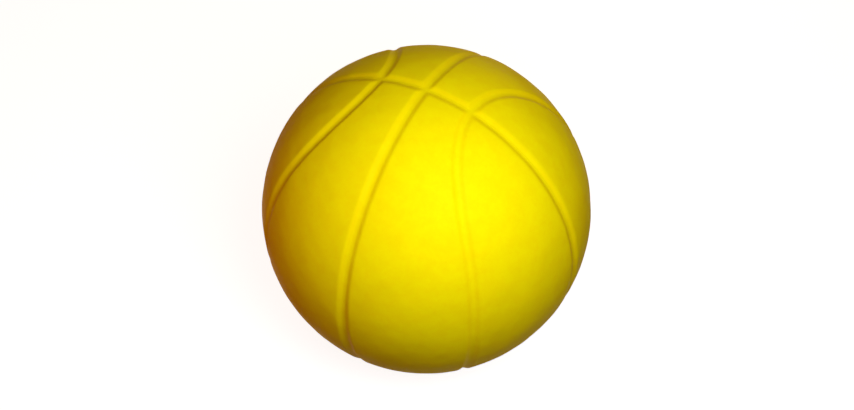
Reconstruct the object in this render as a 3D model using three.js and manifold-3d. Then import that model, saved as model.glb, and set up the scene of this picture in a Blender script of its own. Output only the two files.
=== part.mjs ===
// Foam basketball: a soft ball of moulded foam in a thin skin that carries the channels of a basketball.
// Lengths are in millimetres and angles in degrees. +Z is up and the origin is the middle of the ball.
// +Z passes through the upper crossing of the two round channels, and the ball stands on the lower one.

import * as THREE from 'three';
import { mergeVertices } from 'three/addons/utils/BufferGeometryUtils.js';
import Module from 'manifold-3d';

// Ball
const ballDiameter = 100;
const skinThickness = 0.8;
const footDepth = 0.5; // how deep the soft ball is pressed flat where it stands

// Channels: each is an arc of a circle across, and all have one width and one depth
const channelWidth = 3.6;
const channelDepth = 0.6;

// Side channels: how far each stays from the middle channel, as an angle at the middle of the ball
const sideAngleAtCrossing = 17.2; // where it crosses the parting channel
const sideAngleOnDiagonal = 35; // an eighth of a turn round from that crossing
const sideAngleAtEquator = 44.6; // a quarter of a turn round, where it is widest

// Clearances
const bondClearance = 0.3; // between the foam and the inside of the skin
const partingClearance = 0.3; // between the two halves of the skin
const overcut = 0.5; // how far a cutter stands out of the surface that it cuts

// Facets: splits of a sphere's twenty faces, steps round a channel and pieces of the arc across it
const skinFacets = { sphereSplits: 9, channelSteps: 60, arcPieces: 5 };
const foamFacets = { sphereSplits: 5, channelSteps: 36, arcPieces: 3 };

const ballRadius = ballDiameter / 2;
const arcRadius = (channelWidth ** 2 / 4 + channelDepth ** 2) / (2 * channelDepth);
const arcCentreHeight = ballRadius - channelDepth + arcRadius;

const wasm = await Module();
wasm.setup();

function toSolid(geometry) {
  const bare = geometry.clone();
  bare.deleteAttribute('normal');
  bare.deleteAttribute('uv');
  const merged = mergeVertices(bare, 1e-4);
  return new wasm.Manifold(new wasm.Mesh({
    numProp: 3,
    vertProperties: new Float32Array(merged.attributes.position.array),
    triVerts: new Uint32Array(merged.index.array),
  }));
}

function toGeometry(solid) {
  const mesh = solid.getMesh();
  const geometry = new THREE.BufferGeometry();
  geometry.setAttribute('position', new THREE.BufferAttribute(new Float32Array(mesh.vertProperties), 3));
  geometry.setIndex(new THREE.BufferAttribute(new Uint32Array(mesh.triVerts), 1));
  geometry.computeVertexNormals();
  return geometry;
}

// Courses of the channels. Each gives the direction from the middle of the ball at a turn, in radians,
// counted from the upper crossing.

// The parting channel is a great circle in the XZ plane, and every other channel crosses it.
function partingCourse(turn) {
  return new THREE.Vector3(Math.sin(turn), 0, Math.cos(turn));
}

// The middle channel is a great circle in the YZ plane, between the two side channels.
function middleCourse(turn) {
  return new THREE.Vector3(0, Math.sin(turn), Math.cos(turn));
}

// A side channel is a closed loop round the X axis. Its angle from the middle channel swings twice in a
// full turn, and a faster, smaller swing makes it bend sharply at the crossings and run flat between.
function sideCourse(side) {
  const mean = (sideAngleAtCrossing + sideAngleAtEquator + 2 * sideAngleOnDiagonal) / 4;
  const slowSwing = (sideAngleAtCrossing - sideAngleAtEquator) / 2;
  const fastSwing = (sideAngleAtCrossing + sideAngleAtEquator - 2 * sideAngleOnDiagonal) / 4;
  return (turn) => {
    const degrees = mean + slowSwing * Math.cos(2 * turn) + fastSwing * Math.cos(4 * turn);
    const angle = THREE.MathUtils.degToRad(degrees);
    return new THREE.Vector3(
      side * Math.sin(angle),
      Math.cos(angle) * Math.sin(turn),
      Math.cos(angle) * Math.cos(turn),
    );
  };
}

const channelCourses = [partingCourse, middleCourse, sideCourse(-1), sideCourse(1)];

// The profile of a channel that is cut into a sphere set in from the ball's surface by inset: pairs of
// distance across and height above the middle of the ball. Its arc keeps its centre and grows by inset,
// so the surface that it leaves runs at one distance below the ball's surface.
function channelProfile(inset, arcPieces) {
  const radius = arcRadius + inset;
  const top = ballRadius - inset + overcut;
  const halfAngle = Math.acos((arcCentreHeight - top) / radius);
  const profile = [];
  for (let i = 0; i <= arcPieces; i++) {
    const angle = halfAngle * (2 * i / arcPieces - 1);
    profile.push([radius * Math.sin(angle), arcCentreHeight - radius * Math.cos(angle)]);
  }
  return profile;
}

// The profile is carried once round its course, square to it, and closes on itself.
function channelCutter(course, inset, facets) {
  const profile = channelProfile(inset, facets.arcPieces);
  const count = profile.length;
  const steps = facets.channelSteps;
  const tangentStep = 1e-4;
  const positions = [];
  const triangles = [];
  for (let step = 0; step < steps; step++) {
    const turn = 2 * Math.PI * step / steps;
    const up = course(turn);
    const along = course(turn + tangentStep).sub(course(turn - tangentStep));
    const across = new THREE.Vector3().crossVectors(up, along).normalize();
    const next = (step + 1) % steps;
    for (let i = 0; i < count; i++) {
      const [distance, height] = profile[i];
      const point = up.clone().multiplyScalar(height).addScaledVector(across, distance);
      positions.push(point.x, point.y, point.z);
      const j = (i + 1) % count;
      triangles.push(step * count + i, step * count + j, next * count + j);
      triangles.push(step * count + i, next * count + j, next * count + i);
    }
  }
  const geometry = new THREE.BufferGeometry();
  geometry.setAttribute('position', new THREE.Float32BufferAttribute(positions, 3));
  geometry.setIndex(triangles);
  return geometry;
}

// A cube that is larger than the ball, with its middle moved along one axis
function largeBlock(x, y, z) {
  const side = 2 * ballDiameter;
  return toSolid(new THREE.BoxGeometry(side, side, side).translate(x * side / 2, y * side / 2, z * side / 2));
}

// The whole ball's form, with its channels and flat foot, set in from the surface by inset
function ballForm(inset, facets) {
  let form = toSolid(new THREE.IcosahedronGeometry(ballRadius - inset, facets.sphereSplits));
  for (const course of channelCourses) {
    form = form.subtract(toSolid(channelCutter(course, inset, facets)));
  }
  const footHeight = -ballRadius + footDepth + inset;
  return form.subtract(largeBlock(0, 0, -1).translate(0, 0, footHeight));
}

// Each half of the skin is what one half of the mould leaves, open where it meets the other half.
function skinHalf(side) {
  const wall = ballForm(0, skinFacets).subtract(ballForm(skinThickness, foamFacets));
  return wall.intersect(largeBlock(0, side, 0).translate(0, side * partingClearance / 2, 0));
}

// The foam fills the skin and carries the same channels under it.
function foamCore() {
  return ballForm(skinThickness + bondClearance, foamFacets);
}

const skinMaterial = new THREE.MeshStandardMaterial({ color: 0xe8d800, roughness: 0.45, metalness: 0 });
const foamMaterial = new THREE.MeshStandardMaterial({ color: 0xe9dc8c, roughness: 0.95, metalness: 0 });

const ball = new THREE.Group();
ball.name = 'foam_basketball';

function addPiece(name, solid, material) {
  const mesh = new THREE.Mesh(toGeometry(solid), material);
  mesh.name = name;
  ball.add(mesh);
}

addPiece('foam_core', foamCore(), foamMaterial);
addPiece('skin_front_half', skinHalf(-1), skinMaterial.clone());
addPiece('skin_back_half', skinHalf(1), skinMaterial.clone());

export default ball;
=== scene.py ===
"""Foam basketball: its skin in two moulded halves, the foam inside, and a plain studio.

Lengths are in metres. The origin is the middle of the ball, +Z passes through the upper crossing of
the two round channels, and the parting plane between the halves of the skin is y = 0.
"""

import math

import bpy
import numpy as np
from bpy.props import FloatProperty, FloatVectorProperty, IntProperty, PointerProperty
from bpy.types import Operator, Panel, PropertyGroup
from mathutils import Matrix, Vector


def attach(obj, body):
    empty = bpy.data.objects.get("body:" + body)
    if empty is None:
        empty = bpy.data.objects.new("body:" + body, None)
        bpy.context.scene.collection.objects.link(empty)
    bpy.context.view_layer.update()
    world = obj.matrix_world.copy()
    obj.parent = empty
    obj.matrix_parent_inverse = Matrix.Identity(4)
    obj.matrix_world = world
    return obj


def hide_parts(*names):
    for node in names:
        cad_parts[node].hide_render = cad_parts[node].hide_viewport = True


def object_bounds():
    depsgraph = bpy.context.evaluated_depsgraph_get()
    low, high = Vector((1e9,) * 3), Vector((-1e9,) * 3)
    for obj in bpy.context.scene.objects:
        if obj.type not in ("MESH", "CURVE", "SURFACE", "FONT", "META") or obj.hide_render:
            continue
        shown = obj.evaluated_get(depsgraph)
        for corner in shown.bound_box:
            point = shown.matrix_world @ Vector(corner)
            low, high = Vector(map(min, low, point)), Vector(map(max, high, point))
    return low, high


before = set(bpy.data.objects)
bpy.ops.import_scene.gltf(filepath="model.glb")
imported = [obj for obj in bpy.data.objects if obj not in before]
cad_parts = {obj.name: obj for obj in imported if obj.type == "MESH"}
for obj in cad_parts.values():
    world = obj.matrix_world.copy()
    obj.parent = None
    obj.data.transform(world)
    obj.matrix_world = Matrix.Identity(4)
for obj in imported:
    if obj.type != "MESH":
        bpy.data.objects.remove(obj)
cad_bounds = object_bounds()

bl_info = {
    "name": "Foam basketball",
    "version": (1, 0, 0),
    "blender": (4, 5, 0),
    "location": "3D View > Sidebar > Foam Ball",
    "description": "Makes a small moulded foam basketball with its skin, its foam and a plain studio",
    "category": "Add Mesh",
}

BODY = "root"
FRONT = -1
BACK = 1
SKIN_NODES = {FRONT: "skin_front_half", BACK: "skin_back_half"}
FOAM_NODE = "foam_core"
COVER = "channel_cover"  # attribute of the skin's points
SHARP_ANGLE = math.radians(55.0)  # edges that bend more than this stay sharp, as round the seam

# Unevenness of the surface: how many sines it sums, the seed of their lines and starts, and their
# shortest and longest pitch as shares of the chosen one
SWELL_COUNT = 20
SWELL_SEED = 7
SWELL_PITCHES = (1 / 3, 1.5)

# Lowest values that keep a division or a logarithm sound, far from where they would change a shape
LOWEST_NORM = 1e-9
LOWEST_RING = 1e-3
LOWEST_NEARNESS = 1e-30
LOWEST_FALL = 0.1

# Patterns of the skin, as lumps to a metre
CLOUD_SCALE = 40.0
BLOTCH_SCALE = 260.0
SPECKLE_SCALE = 900.0
SHINE_SCALE = 70.0
PEEL_SCALE = 520.0
PORE_SCALE = 2400.0

# Values of their noise between which each of them rises, and the distance from a pore's middle to its rim
CLOUD_RISE = (0.35, 0.7)
BLOTCH_RISE = (0.35, 0.65)
SPECKLE_RISE = (0.3, 0.7)
SHINE_RISE = (0.4, 0.65)
PORE_RIM = 0.35

# How much of the deep colour the clouds, blotches and speckles bring, and how much a channel's walls and
# floor get of it as painted shade
CLOUD_PIGMENT = 0.25
BLOTCH_PIGMENT = 0.3
SPECKLE_PIGMENT = 0.15
WALL_PAINTED_SHADE = 0.34
FLOOR_PAINTED_SHADE = 0.05

# Gloss and relief of the skin: how its roughness varies in patches and on the channels' walls, its
# gloss, the shares of blotches and pores in its relief, and the strength and height of that relief
SHINE_RANGE = (-0.03, 0.04)
WALL_POLISH = -0.06
SKIN_GLOSS = 0.008
BLOTCH_RELIEF = 0.7
PORE_RELIEF = 0.25
SKIN_BUMP = 0.25
SKIN_BUMP_HEIGHT = 0.00006

# Patterns of the foam, as lumps to a metre, with their shares, and its gloss and relief
LARGE_CELL_SCALE = 700.0
SMALL_CELL_SCALE = 1700.0
FOAM_CLOUD_SCALE = 45.0
SMALL_CELL_SHARE = 0.5
# Painted shade in the foam's cells: the range from a cell's wall to its middle over which its hollows
# darken, the share by which they darken, and the darkness that they and the random clouds take
HOLLOW_SHADE_RISE = (0.55, 0.2)  # from a cell's wall to its middle
HOLLOW_PAINTED_SHADE = 0.5
FOAM_CLOUD_TONE = 0.25
CLOUD_AND_SHADE_DARKNESS = 0.62
FOAM_ROUGHNESS = 0.95
FOAM_GLOSS = 0.2
FOAM_BUMP = 0.8
FOAM_BUMP_HEIGHT = 0.0004

# Stage: the floor's colour to the ball, its colour and its own glow to the eye, how far it reaches to
# each side, and the least and the greatest distance at which the camera sees
WHITE = (1.0, 1.0, 1.0)
FLOOR_TO_BALL = (0.2, 0.11, 0.05)
FLOOR_TO_EYE = (0.5, 0.5, 0.5)
FLOOR_GLOW = 0.9
FLOOR_REACH = 6.0
NEAREST_SEEN = 0.01
FURTHEST_SEEN = 50.0


class BallShape(PropertyGroup):
    """Sizes of the ball"""

    diameter: FloatProperty(
        name="Diameter", description="Across the ball, over its panels", default=0.1, unit="LENGTH"
    )
    skin_thickness: FloatProperty(
        name="Skin thickness", description="Wall of the skin", default=0.0008, unit="LENGTH"
    )
    bond_clearance: FloatProperty(
        name="Bond clearance", description="Between the foam and the skin", default=0.0003, unit="LENGTH"
    )
    foot_height: FloatProperty(
        name="Foot height",
        description="Height of the flat spot that the ball stands on, under its middle",
        default=-cad_bounds[0].z,
        unit="LENGTH",
    )
    foot_rounding: FloatProperty(
        name="Foot rounding",
        description="How softly the flat spot runs into the ball",
        default=0.00005,
        unit="LENGTH",
    )
    unevenness: FloatProperty(
        name="Unevenness",
        description="How far the soft moulded surface wanders in and out",
        default=0.00005,
        unit="LENGTH",
    )
    unevenness_pitch: FloatProperty(
        name="Unevenness pitch", description="From one swell to the next", default=0.011, unit="LENGTH"
    )


class ChannelShape(PropertyGroup):
    """Section and courses of the channels"""

    depth: FloatProperty(
        name="Depth", description="Of a channel's middle below the panels", default=0.0006, unit="LENGTH"
    )
    width: FloatProperty(
        name="Width",
        description="Across a channel, from lip to lip, where its soft shoulders run out into the panels",
        default=0.0046,
        unit="LENGTH",
    )
    floor_width: FloatProperty(
        name="Floor width", description="Across the flat floor of a channel", default=0.0004, unit="LENGTH"
    )
    side_at_crossing: FloatProperty(
        name="Side channel at its crossing",
        description="Angle from the middle channel where a side channel crosses the parting channel",
        default=math.radians(17.2),
        subtype="ANGLE",
    )
    side_on_diagonal: FloatProperty(
        name="Side channel on the diagonal",
        description="Angle from the middle channel an eighth of a turn from that crossing",
        default=math.radians(35.0),
        subtype="ANGLE",
    )
    side_at_equator: FloatProperty(
        name="Side channel at the equator",
        description="Angle from the middle channel a quarter of a turn from that crossing",
        default=math.radians(44.6),
        subtype="ANGLE",
    )
    corner_rounding: FloatProperty(
        name="Corner rounding",
        description="How softly the walls of two channels run into each other where they meet",
        default=0.0003,
        unit="LENGTH",
    )
    seam_width: FloatProperty(
        name="Seam width",
        description="Hairline between the two halves of the skin",
        default=0.00004,
        unit="LENGTH",
    )


class MeshDetail(PropertyGroup):
    """How finely the surfaces are divided"""

    skin_cells: IntProperty(
        name="Skin cells", description="Cells along each side of a half's outer grid", default=288
    )
    cells_per_inner_cell: IntProperty(
        name="Coarser inside", description="Outer cells along one cell of the inside", default=3
    )
    gather_reach: FloatProperty(
        name="Gathering reach",
        description="How far from a channel the grid is drawn in towards it",
        default=0.009,
        unit="LENGTH",
    )
    gather_strength: FloatProperty(
        name="Gathering strength",
        description="Share by which the grid is narrowed along a channel's middle",
        default=0.5,
    )


class BallFinish(PropertyGroup):
    """Colours and gloss"""

    skin_colour: FloatVectorProperty(
        name="Skin", description="Colour of the moulded skin", default=(0.95, 0.84, 0.001), subtype="COLOR"
    )
    # Deep colour: random clouds, blotches and speckles, and painted shade on the channels' walls and floors
    skin_deep_colour: FloatVectorProperty(
        name="Skin, thick",
        description="Colour where the skin has gathered more pigment",
        default=(0.92, 0.73, 0.0006),
        subtype="COLOR",
    )
    foam_colour: FloatVectorProperty(
        name="Foam", description="Colour of the open foam", default=(0.83, 0.72, 0.27), subtype="COLOR"
    )
    skin_roughness: FloatProperty(
        name="Skin roughness", description="Satin finish of the panels", default=0.52, subtype="FACTOR"
    )


class StudioSetting(PropertyGroup):
    """Camera, lamps and surroundings"""

    camera_azimuth: FloatProperty(
        name="Camera azimuth",
        description="Round from the front towards +X",
        default=math.radians(29.15),
        subtype="ANGLE",
    )
    camera_elevation: FloatProperty(
        name="Camera elevation", description="Above level", default=math.radians(46.6), subtype="ANGLE"
    )
    camera_roll: FloatProperty(
        name="Camera roll",
        description="Turn about its own line of sight",
        default=math.radians(-0.4),
        subtype="ANGLE",
    )
    camera_distance: FloatProperty(
        name="Camera distance", description="From the middle of the ball", default=0.52, unit="LENGTH"
    )
    photo_width: FloatProperty(name="Photo width", description="In pixels", default=854.0)
    photo_height: FloatProperty(name="Photo height", description="In pixels", default=410.0)
    ball_middle_x: FloatProperty(
        name="Ball middle, across", description="Pixel of the ball's middle", default=426.4
    )
    ball_middle_y: FloatProperty(
        name="Ball middle, down", description="Pixel of the ball's middle", default=209.2
    )
    ball_radius_px: FloatProperty(
        name="Ball radius", description="Of its outline, in pixels", default=164.4
    )
    sensor_width: FloatProperty(name="Sensor width", description="In millimetres", default=36.0)
    key_level: FloatProperty(
        name="Key level", description="Light of the near soft lamp where the ball faces it", default=1.34
    )
    key_colour: FloatVectorProperty(
        name="Key colour",
        description="Colour of the near soft lamp",
        default=(0.965, 1.0, 0.95),
        subtype="COLOR",
    )
    back_level: FloatProperty(
        name="Back level", description="Light of the soft lamp behind the ball", default=0.28
    )
    back_colour: FloatVectorProperty(
        name="Back colour",
        description="Colour of the lamp behind the ball",
        default=(1.0, 0.78, 0.3),
        subtype="COLOR",
    )
    right_level: FloatProperty(
        name="Right level", description="Light of the soft lamp on the right", default=0.065
    )
    right_colour: FloatVectorProperty(
        name="Right colour",
        description="Colour of the lamp on the right",
        default=(1.0, 0.1, 0.04),
        subtype="COLOR",
    )
    left_level: FloatProperty(
        name="Left level", description="Light of the soft warm lamp on the left", default=0.2
    )
    left_colour: FloatVectorProperty(
        name="Left colour",
        description="Colour of the warm lamp on the left",
        default=(1.0, 0.26, 0.04),
        subtype="COLOR",
    )
    even_level: FloatProperty(
        name="Even level", description="Light that comes alike from all round", default=0.11
    )
    even_colour: FloatVectorProperty(
        name="Even colour",
        description="Colour of the light from all round",
        default=(1.0, 0.34, 0.1),
        subtype="COLOR",
    )


class FoamBall(PropertyGroup):
    """All settings of the ball"""

    ball: PointerProperty(type=BallShape)
    channel: PointerProperty(type=ChannelShape)
    detail: PointerProperty(type=MeshDetail)
    finish: PointerProperty(type=BallFinish)
    studio: PointerProperty(type=StudioSetting)


def half_directions(side, cells):
    """Unit directions to a square grid of points over the half of the ball on one side of y = 0.

    The square is bent into a disc: each square ring becomes a circle of the same reach. The reach then
    becomes the angle from the Y axis, from nothing in the middle to a right angle along the square's
    edge, so the edge of the grid lies in the parting plane.
    """
    steps = np.linspace(-1.0, 1.0, cells + 1)
    s, t = np.meshgrid(steps, steps, indexing="ij")
    wide = np.abs(s) >= np.abs(t)
    reach = np.where(wide, s, t)
    safe_reach = np.where(reach == 0.0, 1.0, reach)
    share = np.where(wide, t, s) / safe_reach
    turn = np.where(wide, math.pi / 4 * share, math.pi / 2 - math.pi / 4 * share)
    angle = reach * math.pi / 2
    across = np.sin(angle)
    return np.stack((across * np.cos(turn), side * np.cos(angle), across * np.sin(turn)), axis=-1)


def side_course(turn, channel):
    """A side channel's angle from the middle channel at a turn about the X axis, and its slope there.

    The angle is a mean value, plus a swing with twice the turn, plus a smaller one with four times it.
    """
    mean = (channel.side_at_crossing + channel.side_at_equator + 2 * channel.side_on_diagonal) / 4
    slow = (channel.side_at_crossing - channel.side_at_equator) / 2
    fast = (channel.side_at_crossing + channel.side_at_equator - 2 * channel.side_on_diagonal) / 4
    angle = mean + slow * np.cos(2 * turn) + fast * np.cos(4 * turn)
    slope = -2 * slow * np.sin(2 * turn) - 4 * fast * np.sin(4 * turn)
    return angle, slope


def round_channel(directions, axis):
    """Angle of each direction from the plane square to an axis, and the direction in which it grows."""
    component = directions[..., axis]
    growth = -component[..., None] * directions
    growth[..., axis] += 1.0
    growth /= np.maximum(np.linalg.norm(growth, axis=-1, keepdims=True), LOWEST_NORM)
    return np.arcsin(np.clip(component, -1.0, 1.0)), growth


def side_channel(directions, side, channel):
    """Angle of each direction from a side channel's middle line, and the direction in which it grows.

    It is the difference between the direction's own angle from the middle channel and the course's,
    divided by the steepness of that difference over the ball, which is exact close to the line.
    """
    x, y, z = np.moveaxis(directions, -1, 0)
    turn = np.arctan2(y, z)
    own_angle = np.arcsin(np.clip(side * x, -1.0, 1.0))
    course_angle, slope = side_course(turn, channel)
    ring = np.maximum(np.cos(own_angle), LOWEST_RING)
    lean = -slope / ring
    steepness = np.sqrt(1.0 + lean**2)
    outward = np.stack(
        (
            side * np.cos(own_angle),
            -np.sin(own_angle) * np.sin(turn),
            -np.sin(own_angle) * np.cos(turn),
        ),
        axis=-1,
    )
    onward = np.stack((np.zeros_like(turn), np.cos(turn), -np.sin(turn)), axis=-1)
    growth = (outward + lean[..., None] * onward) / steepness[..., None]
    return (own_angle - course_angle) / steepness, growth


def channel_fields(channel):
    """The four channels, each as a function of directions that gives their angle from its middle."""
    return (
        lambda directions: round_channel(directions, 1),
        lambda directions: round_channel(directions, 0),
        lambda directions: side_channel(directions, -1, channel),
        lambda directions: side_channel(directions, 1, channel),
    )


def gather_to_channels(directions, settings):
    """Turns the directions towards each channel in turn, so that the grid is finest where it bends.

    Within the reach, an angle is cut by a share that falls from the full strength on the channel to
    nothing at the reach, as the square of what is left of the way.
    """
    reach = settings.detail.gather_reach / (settings.ball.diameter / 2)
    for field in channel_fields(settings.channel):
        angle, growth = field(directions)
        left = np.clip(1.0 - np.abs(angle) / reach, 0.0, 1.0)
        move = (-settings.detail.gather_strength * angle * left**2)[..., None]
        directions = directions * np.cos(move) + growth * np.sin(move)
    return directions


def channel_cover(directions, settings):
    """How much each direction lies in a channel, from 0 on the panels to 1 along a channel's middle.

    The distance to the channels' middle lines is a smooth minimum of the distances to each of them: minus
    the rounding times the logarithm of the sum of their falling exponentials. The cover falls with it as
    one half wave of a cosine, from the edge of the floor to the lip.
    """
    channel = settings.channel
    radius = settings.ball.diameter / 2
    rounding = channel.corner_rounding
    nearness = np.zeros(directions.shape[:-1])
    for field in channel_fields(channel):
        nearness += np.exp(-np.abs(field(directions)[0]) * radius / rounding)
    distance = -rounding * np.log(np.maximum(nearness, LOWEST_NEARNESS))
    half_floor = channel.floor_width / 2
    share = np.clip((distance - half_floor) / (channel.width / 2 - half_floor), 0.0, 1.0)
    return 0.5 + 0.5 * np.cos(math.pi * share)


def unevenness(directions, ball):
    """How far the surface stands out or in at each direction, as soft foam never comes out quite true.

    It is a sum of sines of the place along fixed random lines, each with its own start. Their pitches
    are spread by equal ratios between the shortest and the longest, and each sine's height is in
    proportion to its pitch.
    """
    random = np.random.default_rng(SWELL_SEED)
    lines = random.normal(size=(SWELL_COUNT, 3))
    lines /= np.linalg.norm(lines, axis=1, keepdims=True)
    ratios = np.geomspace(*SWELL_PITCHES, SWELL_COUNT)
    starts = random.uniform(0.0, 2 * math.pi, SWELL_COUNT)
    turns = directions @ (lines.T * (math.pi * ball.diameter / (ball.unevenness_pitch * ratios))) + starts
    return ball.unevenness * (np.sin(turns) @ ratios) / np.linalg.norm(ratios)


def ball_surface(directions, settings, inset):
    """Points of the ball's surface, or of one set in from it, and the cover of the channels there.

    The distance from the middle is the radius, less the inset, less the channels' depth times their
    cover, plus the unevenness. Under the ball it is held to the foot's plane by a smooth minimum.
    """
    ball = settings.ball
    cover = channel_cover(directions, settings)
    distance = ball.diameter / 2 - inset - settings.channel.depth * cover + unevenness(directions, ball)
    down = np.maximum(-directions[..., 2], LOWEST_FALL)
    to_foot = (ball.foot_height - inset) / down
    gap = distance - to_foot
    soft_gap = np.sqrt(gap**2 + ball.foot_rounding**2)
    distance = (distance + to_foot - soft_gap) / 2
    return directions * distance[..., None], cover


def grid_faces(cells, flip, first=0):
    """The quads of a square grid of points, as rows of four point numbers.

    Over the front half they face away from the middle of the ball, and flip turns them over.
    """
    numbers = first + np.arange((cells + 1) ** 2).reshape(cells + 1, cells + 1)
    quads = np.stack((numbers[:-1, :-1], numbers[1:, :-1], numbers[1:, 1:], numbers[:-1, 1:]), axis=-1)
    quads = quads.reshape(-1, 4)
    return quads[:, ::-1] if flip else quads


def grid_edge(cells, first=0):
    """The numbers of the points round a square grid's edge, once round."""
    numbers = first + np.arange((cells + 1) ** 2).reshape(cells + 1, cells + 1)
    return np.concatenate((numbers[:-1, 0], numbers[-1, :-1], numbers[:0:-1, -1], numbers[0, :0:-1]))


def edge_strip(outer, inner, ratio, flip):
    """Triangles between two edges, of which the outer has ratio times as many points as the inner.

    Each inner point takes the outer edges nearest to it, and one triangle joins it to the next.
    """
    spoke = ratio // 2 + 1
    after = np.roll(inner, -1)
    triangles = []
    for k in range(ratio):
        start = np.roll(outer, -k)[::ratio]
        end = np.roll(outer, -k - 1)[::ratio]
        tip = inner if k < spoke else after
        triangles.append(np.stack((start, end, tip), axis=-1))
    middle = np.roll(outer, -spoke)[::ratio]
    triangles.append(np.stack((middle, after, inner), axis=-1))
    triangles = np.concatenate(triangles)
    return triangles[:, ::-1] if flip else triangles


def make_piece(name, points, quads, triangles, attributes):
    """A smooth shaded mesh object at the origin, with one value to a point in each attribute."""
    mesh = bpy.data.meshes.new(name)
    loops = np.concatenate((quads.ravel(), triangles.ravel())).astype(np.int32)
    sizes = np.concatenate((np.full(len(quads), 4), np.full(len(triangles), 3)))
    starts = np.concatenate(((0,), np.cumsum(sizes)[:-1])).astype(np.int32)
    mesh.vertices.add(len(points))
    mesh.vertices.foreach_set("co", points.astype(np.float32).ravel())
    mesh.loops.add(len(loops))
    mesh.loops.foreach_set("vertex_index", loops)
    mesh.polygons.add(len(sizes))
    mesh.polygons.foreach_set("loop_start", starts)
    mesh.update(calc_edges=True)
    mesh.validate()
    mesh.shade_smooth()
    for key, values in attributes.items():
        layer = mesh.attributes.new(key, "FLOAT", "POINT")
        layer.data.foreach_set("value", values.astype(np.float32).ravel())
    piece = bpy.data.objects.new(name, mesh)
    bpy.context.scene.collection.objects.link(piece)
    return piece


class Nodes:
    """Adds shader nodes to a material or a world and links them."""

    def __init__(self, owner):
        owner.use_nodes = True
        self.tree = owner.node_tree
        self.tree.nodes.clear()

    def add(self, kind, inputs=None, **settings):
        """A node of a kind, with its settings, whose inputs are linked to sockets or set to values."""
        node = self.tree.nodes.new(kind)
        for key, value in settings.items():
            setattr(node, key, value)
        for key, value in (inputs or {}).items():
            if isinstance(value, bpy.types.NodeSocket):
                self.tree.links.new(value, node.inputs[key])
            else:
                node.inputs[key].default_value = value
        return node

    def math(self, operation, *values):
        """The result of a sum in numbers, such as ADD or MULTIPLY_ADD."""
        return self.add("ShaderNodeMath", dict(enumerate(values)), operation=operation).outputs[0]

    def noise(self, place, scale, detail=2.0, roughness=0.5):
        """Soft cloudy noise, mostly between 0.3 and 0.7."""
        inputs = {"Vector": place, "Scale": scale, "Detail": detail, "Roughness": roughness}
        return self.add("ShaderNodeTexNoise", inputs).outputs["Fac"]

    def ramp(self, value, low, high, to_low=0.0, to_high=1.0):
        """The value carried smoothly from one range to another, and held at its ends."""
        inputs = {"Value": value, "From Min": low, "From Max": high, "To Min": to_low, "To Max": to_high}
        return self.add("ShaderNodeMapRange", inputs, interpolation_type="SMOOTHSTEP").outputs["Result"]

    def mix_colour(self, share, first, second):
        """The first colour where the share is 0 and the second where it is 1."""
        node = self.tree.nodes.new("ShaderNodeMix")
        node.data_type = "RGBA"
        sockets = {"Factor_Float": share, "A_Color": first, "B_Color": second}
        for socket in node.inputs:
            value = sockets.get(socket.identifier)
            if value is None:
                continue
            if isinstance(value, bpy.types.NodeSocket):
                self.tree.links.new(value, socket)
            else:
                socket.default_value = value
        return next(out for out in node.outputs if out.identifier == "Result_Color")


def opaque(colour):
    """A colour of three parts with full cover as its fourth."""
    return (*colour, 1.0)


def skin_material(finish):
    """Soft moulded skin: satin, faintly uneven in colour and gloss, with fine pores.

    The walls of the channels, and a little their floors, take the deep colour as painted shade, and the
    walls are a little smoother. How much a place is on a wall is four times the cover times what the cover
    lacks of 1, which is 1 halfway down.
    """
    material = bpy.data.materials.new("moulded_skin")
    nodes = Nodes(material)
    place = nodes.add("ShaderNodeTexCoord").outputs["Object"]
    cover = nodes.add("ShaderNodeAttribute", attribute_name=COVER).outputs["Fac"]
    cloud = nodes.noise(place, CLOUD_SCALE, detail=3.0)
    blotch = nodes.noise(place, BLOTCH_SCALE, detail=3.0, roughness=0.6)
    speckle = nodes.noise(place, SPECKLE_SCALE)
    wall = nodes.math("MULTIPLY", nodes.math("MULTIPLY", cover, nodes.math("SUBTRACT", 1.0, cover)), 4.0)
    # Painted shade: the deep colour laid on the channels' walls and, a little less, on their floors
    pigment_and_shade = nodes.math("MULTIPLY_ADD", wall, WALL_PAINTED_SHADE, nodes.math("MULTIPLY", cover, FLOOR_PAINTED_SHADE))
    pigment_and_shade = nodes.math("MULTIPLY_ADD", nodes.ramp(cloud, *CLOUD_RISE), CLOUD_PIGMENT, pigment_and_shade)
    pigment_and_shade = nodes.math("MULTIPLY_ADD", nodes.ramp(blotch, *BLOTCH_RISE), BLOTCH_PIGMENT, pigment_and_shade)
    pigment_and_shade = nodes.math("MULTIPLY_ADD", nodes.ramp(speckle, *SPECKLE_RISE), SPECKLE_PIGMENT, pigment_and_shade)
    colour = nodes.mix_colour(pigment_and_shade, opaque(finish.skin_colour), opaque(finish.skin_deep_colour))
    patches = nodes.ramp(nodes.noise(place, SHINE_SCALE, detail=4.0), *SHINE_RISE, *SHINE_RANGE)
    roughness = nodes.math("ADD", finish.skin_roughness, patches)
    roughness = nodes.math("MULTIPLY_ADD", wall, WALL_POLISH, roughness)
    fine_peel = nodes.noise(place, PEEL_SCALE, detail=1.0)
    peel = nodes.math("MULTIPLY_ADD", blotch, BLOTCH_RELIEF, fine_peel)
    pores = nodes.add(
        "ShaderNodeTexVoronoi", {"Vector": place, "Scale": PORE_SCALE}, feature="SMOOTH_F1"
    ).outputs["Distance"]
    relief = nodes.math("MULTIPLY_ADD", nodes.ramp(pores, 0.0, PORE_RIM), PORE_RELIEF, peel)
    bump = nodes.add(
        "ShaderNodeBump", {"Height": relief, "Strength": SKIN_BUMP, "Distance": SKIN_BUMP_HEIGHT}
    ).outputs["Normal"]
    shader = nodes.add(
        "ShaderNodeBsdfPrincipled",
        {
            "Base Color": colour,
            "Roughness": roughness,
            "Specular IOR Level": SKIN_GLOSS,
            "Normal": bump,
        },
    )
    nodes.add("ShaderNodeOutputMaterial", {"Surface": shader.outputs["BSDF"]})
    return material


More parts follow.
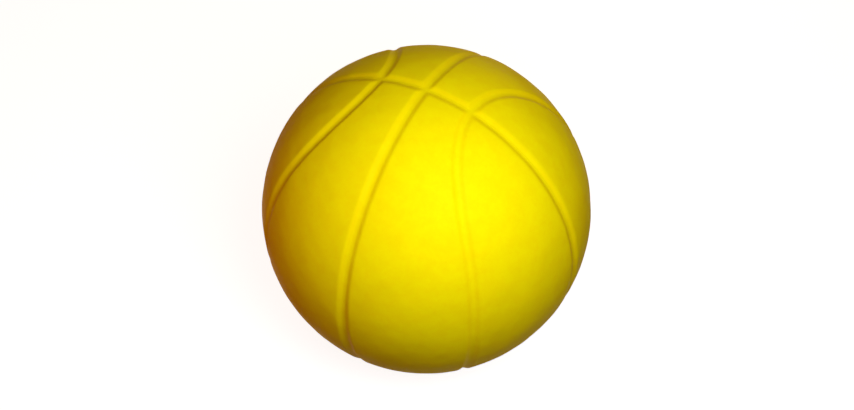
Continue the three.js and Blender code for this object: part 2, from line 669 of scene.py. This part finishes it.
def foam_material(finish):
    """Open foam: small cells of uneven size, with painted shade that keeps their walls lighter and their
    hollows darker.
    """
    material = bpy.data.materials.new("open_foam")
    nodes = Nodes(material)
    place = nodes.add("ShaderNodeTexCoord").outputs["Object"]
    large = nodes.add(
        "ShaderNodeTexVoronoi", {"Vector": place, "Scale": LARGE_CELL_SCALE}
    ).outputs["Distance"]
    small = nodes.add(
        "ShaderNodeTexVoronoi", {"Vector": place, "Scale": SMALL_CELL_SCALE}
    ).outputs["Distance"]
    cells = nodes.math("MULTIPLY_ADD", small, SMALL_CELL_SHARE, large)
    # Painted shade: the foam's cells coloured darker in their hollows
    painted_hollow_shade = nodes.ramp(cells, *HOLLOW_SHADE_RISE)
    cloud = nodes.noise(place, FOAM_CLOUD_SCALE)
    tone_and_shade = nodes.math("MULTIPLY_ADD", cloud, FOAM_CLOUD_TONE, nodes.math("MULTIPLY", painted_hollow_shade, HOLLOW_PAINTED_SHADE))
    cloud_and_shade_colour = tuple(CLOUD_AND_SHADE_DARKNESS * part for part in finish.foam_colour)
    colour = nodes.mix_colour(tone_and_shade, opaque(finish.foam_colour), opaque(cloud_and_shade_colour))
    bump = nodes.add(
        "ShaderNodeBump", {"Height": cells, "Strength": FOAM_BUMP, "Distance": FOAM_BUMP_HEIGHT}
    ).outputs["Normal"]
    shader = nodes.add(
        "ShaderNodeBsdfPrincipled",
        {
            "Base Color": colour,
            "Roughness": FOAM_ROUGHNESS,
            "Specular IOR Level": FOAM_GLOSS,
            "Normal": bump,
        },
    )
    nodes.add("ShaderNodeOutputMaterial", {"Surface": shader.outputs["BSDF"]})
    return material


def seen_directly(nodes):
    """1 for rays from the camera and for rays that a glossy or clear surface sends on, 0 for the rest."""
    path = nodes.add("ShaderNodeLightPath").outputs
    direct = nodes.math("MAXIMUM", path["Is Camera Ray"], path["Is Glossy Ray"])
    return nodes.math("MAXIMUM", direct, path["Is Transmission Ray"])


def floor_material():
    """Plain pale floor: near white to the eye, with a soft shadow, and dim and warm to the ball."""
    material = bpy.data.materials.new("pale_floor")
    nodes = Nodes(material)
    dim = nodes.add("ShaderNodeBsdfDiffuse", {"Color": opaque(FLOOR_TO_BALL)})
    shaded = nodes.add("ShaderNodeBsdfDiffuse", {"Color": opaque(FLOOR_TO_EYE)})
    glow = nodes.add("ShaderNodeEmission", {"Color": opaque(WHITE), "Strength": FLOOR_GLOW})
    pale = nodes.add("ShaderNodeAddShader", {0: shaded.outputs[0], 1: glow.outputs[0]})
    mix = nodes.add(
        "ShaderNodeMixShader", {0: seen_directly(nodes), 1: dim.outputs[0], 2: pale.outputs[0]}
    )
    nodes.add("ShaderNodeOutputMaterial", {"Surface": mix.outputs[0]})
    return material


def white_world(studio):
    """White where it is seen, and a low even light on the ball."""
    world = bpy.data.worlds.new("white_room")
    bpy.context.scene.world = world
    nodes = Nodes(world)
    dim = tuple(studio.even_level * part for part in studio.even_colour)
    colour = nodes.mix_colour(seen_directly(nodes), opaque(dim), opaque(WHITE))
    background = nodes.add("ShaderNodeBackground", {"Color": colour, "Strength": 1.0})
    nodes.add("ShaderNodeOutputWorld", {"Surface": background.outputs[0]})


def camera_axes(studio):
    """The camera's right, up and back directions."""
    azimuth, elevation = studio.camera_azimuth, studio.camera_elevation
    back = Vector(
        (
            math.sin(azimuth) * math.cos(elevation),
            -math.cos(azimuth) * math.cos(elevation),
            math.sin(elevation),
        )
    )
    right = Vector((math.cos(azimuth), math.sin(azimuth), 0.0))
    right.rotate(Matrix.Rotation(studio.camera_roll, 3, back))
    return right, back.cross(right), back


def add_camera(studio, radius):
    """Camera whose lens gives the ball its size in the photo, aimed so that it lies where it does there."""
    right, up, back = camera_axes(studio)
    distance = studio.camera_distance
    focal_px = studio.ball_radius_px * math.sqrt((distance / radius) ** 2 - 1.0)
    data = bpy.data.cameras.new("camera")
    data.sensor_width = studio.sensor_width
    data.lens = focal_px * studio.sensor_width / studio.photo_width
    data.clip_start = NEAREST_SEEN
    data.clip_end = FURTHEST_SEEN
    camera = bpy.data.objects.new("camera", data)
    bpy.context.scene.collection.objects.link(camera)
    bpy.context.scene.camera = camera
    metres_per_px = distance / focal_px
    off_right = (studio.photo_width / 2 - studio.ball_middle_x) * metres_per_px
    off_up = (studio.ball_middle_y - studio.photo_height / 2) * metres_per_px
    aim = right * off_right + up * off_up
    camera.location = back * distance
    line = (camera.location - aim).normalized()
    level = up.cross(line).normalized()
    turn = Matrix((level, line.cross(level), line)).transposed()
    camera.rotation_euler = turn.to_euler()


def add_soft_lamp(name, place, target, size, level, colour):
    """A round soft lamp that faces target and gives a white surface there the level.

    The level is the lamp's power divided by pi squared and by the square of its distance.
    """
    reach = (place - target).length
    data = bpy.data.lights.new(name, "AREA")
    data.shape = "DISK"
    data.size = size
    data.color = colour
    data.energy = level * math.pi**2 * reach**2
    lamp = bpy.data.objects.new(name, data)
    bpy.context.scene.collection.objects.link(lamp)
    lamp.location = place
    lamp.rotation_euler = (place - target).to_track_quat("Z", "Y").to_euler()
    lamp.visible_camera = False


def toward(studio, to_right, to_up):
    """Direction from the ball that lies so many degrees to the right of the camera and above it."""
    right, up, back = camera_axes(studio)
    across, rise = math.radians(to_right), math.radians(to_up)
    return (
        right * math.sin(across) * math.cos(rise)
        + up * math.sin(rise)
        + back * math.cos(across) * math.cos(rise)
    )


class FOAMBALL_OT_skin(Operator):
    """Make the skin of the ball as two thin shells with the channels in them"""

    bl_idname = "foamball.skin"
    bl_label = "Make Skin Halves"

    def execute(self, context):
        settings = context.scene.foam_ball
        ratio = settings.detail.cells_per_inner_cell
        outer_cells = settings.detail.skin_cells
        inner_cells = outer_cells // ratio
        if inner_cells * ratio != outer_cells:
            raise ValueError("Skin cells must be a multiple of the outer cells along one inner cell")
        material = skin_material(settings.finish)
        for side, node in SKIN_NODES.items():
            outer, outer_cover = ball_surface(
                gather_to_channels(half_directions(side, outer_cells), settings), settings, 0.0
            )
            inner, inner_cover = ball_surface(
                gather_to_channels(half_directions(side, inner_cells), settings),
                settings,
                settings.ball.skin_thickness,
            )
            points = np.concatenate((outer.reshape(-1, 3), inner.reshape(-1, 3)))
            # Each half stops short of the parting plane by half the seam
            half_seam = settings.channel.seam_width / 2
            points[:, 1] = side * np.maximum(side * points[:, 1], half_seam)
            first_inner = (outer_cells + 1) ** 2
            turned = side == BACK
            quads = np.concatenate(
                (
                    grid_faces(outer_cells, turned),
                    grid_faces(inner_cells, not turned, first_inner),
                )
            )
            triangles = edge_strip(
                grid_edge(outer_cells), grid_edge(inner_cells, first_inner), ratio, turned
            )
            cover = np.concatenate((outer_cover.ravel(), inner_cover.ravel()))
            piece = make_piece(node + "_skin", points, quads, triangles, {COVER: cover})
            piece.data.materials.append(material)
            piece.data.set_sharp_from_angle(angle=SHARP_ANGLE)
            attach(piece, BODY)
            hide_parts(node)
        return {"FINISHED"}


class FOAMBALL_OT_foam(Operator):
    """Make the foam that fills the skin, with the same channels"""

    bl_idname = "foamball.foam"
    bl_label = "Make Foam Core"

    def execute(self, context):
        settings = context.scene.foam_ball
        cells = settings.detail.skin_cells // settings.detail.cells_per_inner_cell
        inset = settings.ball.skin_thickness + settings.ball.bond_clearance
        points, quads = [], []
        for side in (FRONT, BACK):
            surface, _ = ball_surface(
                gather_to_channels(half_directions(side, cells), settings), settings, inset
            )
            quads.append(grid_faces(cells, side == BACK, first=len(points) * (cells + 1) ** 2))
            points.append(surface.reshape(-1, 3))
        points = np.concatenate(points)
        quads = np.concatenate(quads)
        # The two halves share the points of their common edge
        edge = grid_edge(cells)
        numbers = np.arange(len(points))
        numbers[edge + (cells + 1) ** 2] = edge
        piece = make_piece(FOAM_NODE + "_foam", points, numbers[quads], np.zeros((0, 3), int), {})
        piece.data.materials.append(foam_material(settings.finish))
        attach(piece, BODY)
        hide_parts(FOAM_NODE)
        return {"FINISHED"}


class FOAMBALL_OT_studio(Operator):
    """Set the camera, the pale floor, the lamps and the white surroundings"""

    bl_idname = "foamball.studio"
    bl_label = "Set Studio"

    def execute(self, context):
        settings = context.scene.foam_ball
        studio = settings.studio
        radius = settings.ball.diameter / 2
        context.scene.view_settings.view_transform = "Standard"
        add_camera(studio, radius)
        white_world(studio)

        corners = [(-1, -1), (1, -1), (1, 1), (-1, 1)]
        mesh = bpy.data.meshes.new("floor")
        mesh.from_pydata(
            [(x * FLOOR_REACH, y * FLOOR_REACH, -settings.ball.foot_height) for x, y in corners],
            [],
            [(0, 1, 2, 3)],
        )
        mesh.materials.append(floor_material())
        floor = bpy.data.objects.new("floor", mesh)
        context.scene.collection.objects.link(floor)

        # Name, degrees to the right of the camera and above it as seen from the ball, distance from the
        # ball's middle and radius, both in radii of the ball, level and colour
        lamps = (
            ("key_lamp", 9.6, 4.8, 4.2, 1.2, studio.key_level, studio.key_colour),
            ("back_lamp", 150.0, 55.0, 6.0, 2.0, studio.back_level, studio.back_colour),
            ("right_lamp", 110.0, 10.0, 6.0, 2.0, studio.right_level, studio.right_colour),
            ("left_lamp", -65.0, -4.0, 3.5, 1.05, studio.left_level, studio.left_colour),
        )
        for name, to_right, to_up, reach, lamp_radius, level, colour in lamps:
            way = toward(studio, to_right, to_up)
            size = 2 * lamp_radius * radius
            add_soft_lamp(name, way * reach * radius, way * radius, size, level, colour)
        return {"FINISHED"}


class FOAMBALL_PT_panel(Panel):
    """Settings and operators of the ball"""

    bl_label = "Foam Ball"
    bl_idname = "FOAMBALL_PT_panel"
    bl_space_type = "VIEW_3D"
    bl_region_type = "UI"
    bl_category = "Foam Ball"

    def draw(self, context):
        settings = context.scene.foam_ball
        for group in (settings.ball, settings.channel, settings.detail, settings.finish, settings.studio):
            box = self.layout.box()
            for key in group.bl_rna.properties.keys():
                if key not in ("rna_type", "name"):
                    box.prop(group, key)
        for operator in OPERATORS:
            self.layout.operator(operator.bl_idname)


GROUPS = (BallShape, ChannelShape, MeshDetail, BallFinish, StudioSetting, FoamBall)
OPERATORS = (FOAMBALL_OT_skin, FOAMBALL_OT_foam, FOAMBALL_OT_studio)
CLASSES = (*GROUPS, *OPERATORS, FOAMBALL_PT_panel)


def register():
    """Makes the classes and the scene's settings known."""
    for cls in CLASSES:
        bpy.utils.register_class(cls)
    bpy.types.Scene.foam_ball = PointerProperty(type=FoamBall)


def unregister():
    """Takes them away again."""
    del bpy.types.Scene.foam_ball
    for cls in reversed(CLASSES):
        bpy.utils.unregister_class(cls)


def main():
    """Makes the ball and its stage."""
    register()
    bpy.ops.foamball.skin()
    bpy.ops.foamball.foam()
    bpy.ops.foamball.studio()


if __name__ == "__main__":
    main()
